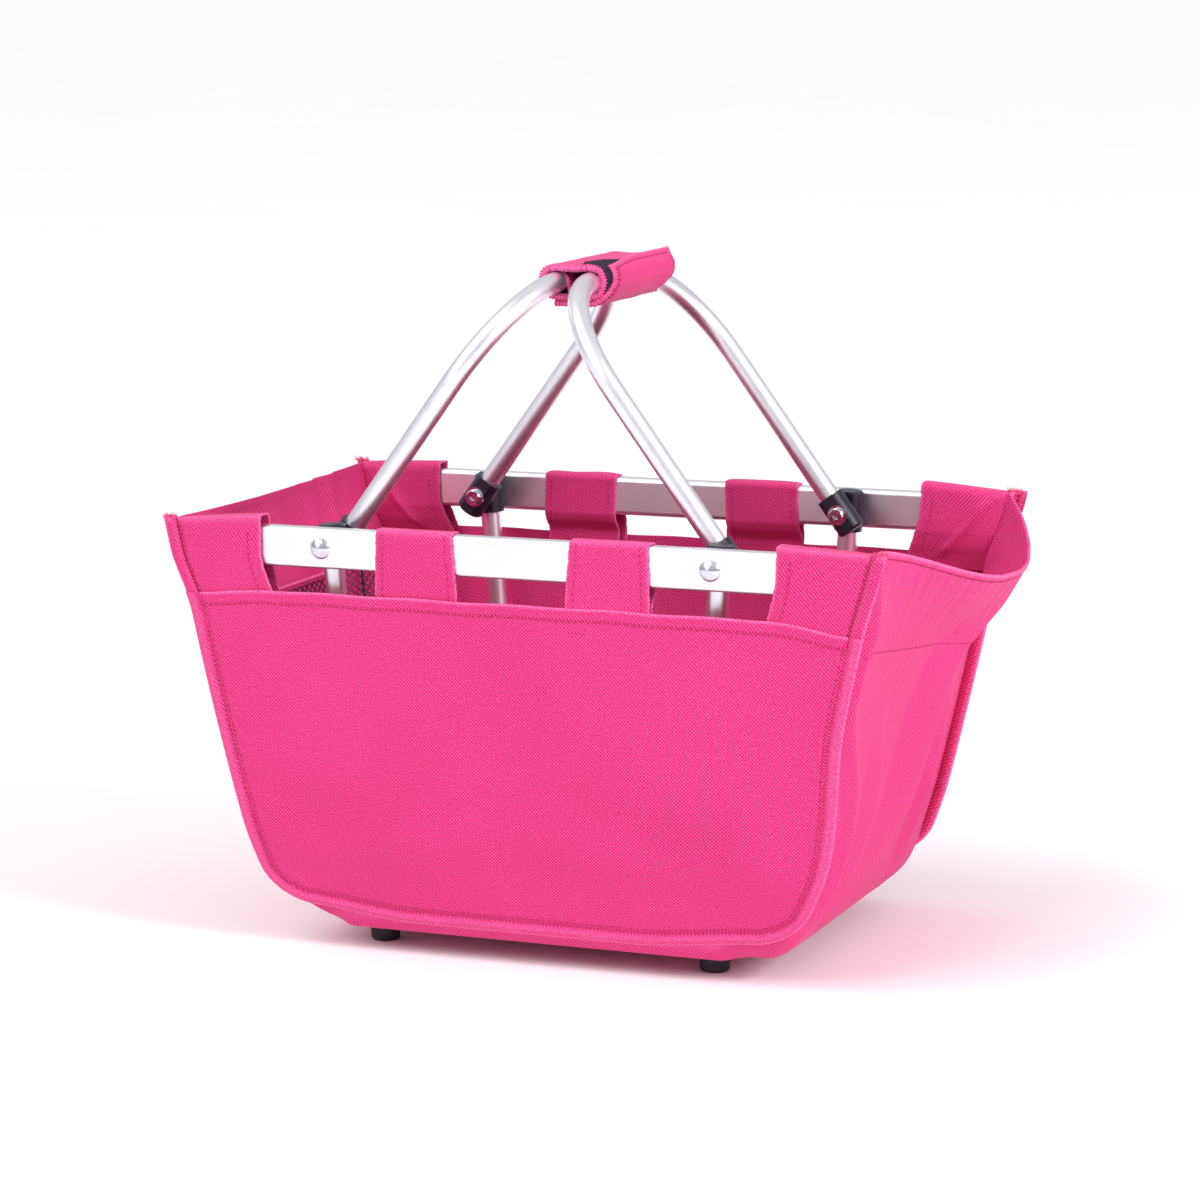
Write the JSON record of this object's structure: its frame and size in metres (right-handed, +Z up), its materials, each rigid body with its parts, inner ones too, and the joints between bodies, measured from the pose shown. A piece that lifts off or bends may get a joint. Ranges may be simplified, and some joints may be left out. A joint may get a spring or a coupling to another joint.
{
  "type": "folding shopping basket",
  "caption": "Open-topped soft-sided shopping basket on a folding tube frame, with two swing handles joined by a padded grip.",
  "frame": {"origin": "on the ground under the middle of the basket", "axes": "+X along the rim rails to the right, +Y to the rear, +Z up"},
  "size_m": [0.464, 0.2826, 0.4234],
  "materials": {
    "aluminium": "satin anodised",
    "steel": "polished",
    "black_plastic": "smooth moulded",
    "black_rubber": "matt",
    "fabric": "coated polyester weave",
    "fabric_gusset": "coated polyester weave",
    "hook_tape": "hook tape",
    "mesh": "open net",
    "binding": "woven binding"
  },
  "bodies": {
    "basket": {"rail_front": "aluminium", "rail_rear": "aluminium", "rail_plug_fl": "black_plastic", "rail_plug_fr": "black_plastic", "rail_plug_rl": "black_plastic", "rail_plug_rr": "black_plastic", "bolt_fl": "steel", "bolt_fr": "steel", "bolt_rl": "steel", "bolt_rr": "steel", "washer_fl": "steel", "washer_fr": "steel", "washer_rl": "steel", "washer_rr": "steel", "nut_fl": "steel", "nut_fr": "steel", "nut_rl": "steel", "nut_rr": "steel", "foot_fl": "black_rubber", "foot_fr": "black_rubber", "foot_rl": "black_rubber", "foot_rr": "black_rubber", "foot_rivets": "steel", "base_board": "black_plastic", "front_panel": "fabric", "rear_panel": "fabric", "end_panel_left": "fabric_gusset", "end_panel_right": "fabric_gusset", "floor_panel": "fabric_gusset", "sleeve_fl": "fabric", "sleeve_fr": "fabric", "sleeve_rl": "fabric", "sleeve_rr": "fabric", "loop_fl": "fabric", "loop_fr": "fabric", "loop_rl": "fabric", "loop_rr": "fabric", "loop_tapes": "hook_tape", "mesh_pocket": "mesh", "pocket_binding": "binding"},
    "leg_left": {"leg_frame_left": "aluminium", "leg_cap_fl": "black_plastic", "leg_cap_rl": "black_plastic"},
    "leg_right": {"leg_frame_right": "aluminium", "leg_cap_fr": "black_plastic", "leg_cap_rr": "black_plastic"},
    "grip_left": {"handle_left": "aluminium", "handle_cap_fl": "black_plastic", "handle_cap_rl": "black_plastic", "grip_wrap": "fabric", "grip_flap": "fabric", "grip_tape": "hook_tape"},
    "grip_right": {"handle_right": "aluminium", "handle_cap_fr": "black_plastic", "handle_cap_rr": "black_plastic"}
  },
  "joints": [
    {"name": "leg_left_fold", "type": "hinge", "parent": "basket", "child": "leg_left", "pos_m": [-0.126, 0, 0.254], "axis": [0, -1, 0], "range_deg": [0, 89.3]},
    {"name": "leg_right_fold", "type": "hinge", "parent": "basket", "child": "leg_right", "pos_m": [0.126, 0, 0.254], "axis": [0, 1, 0], "range_deg": [0, 82.7]},
    {"name": "handle_left_swing", "type": "hinge", "parent": "basket", "child": "grip_left", "pos_m": [-0.126, 0, 0.254], "axis": [0, -1, 0], "range_deg": [0, 113.5]},
    {"name": "handle_right_swing", "type": "hinge", "parent": "basket", "child": "grip_right", "pos_m": [0.126, 0, 0.254], "axis": [0, 1, 0], "range_deg": [0, 113.5], "deforming": ["grip_wrap", "grip_flap", "grip_tape"]}
  ]
}
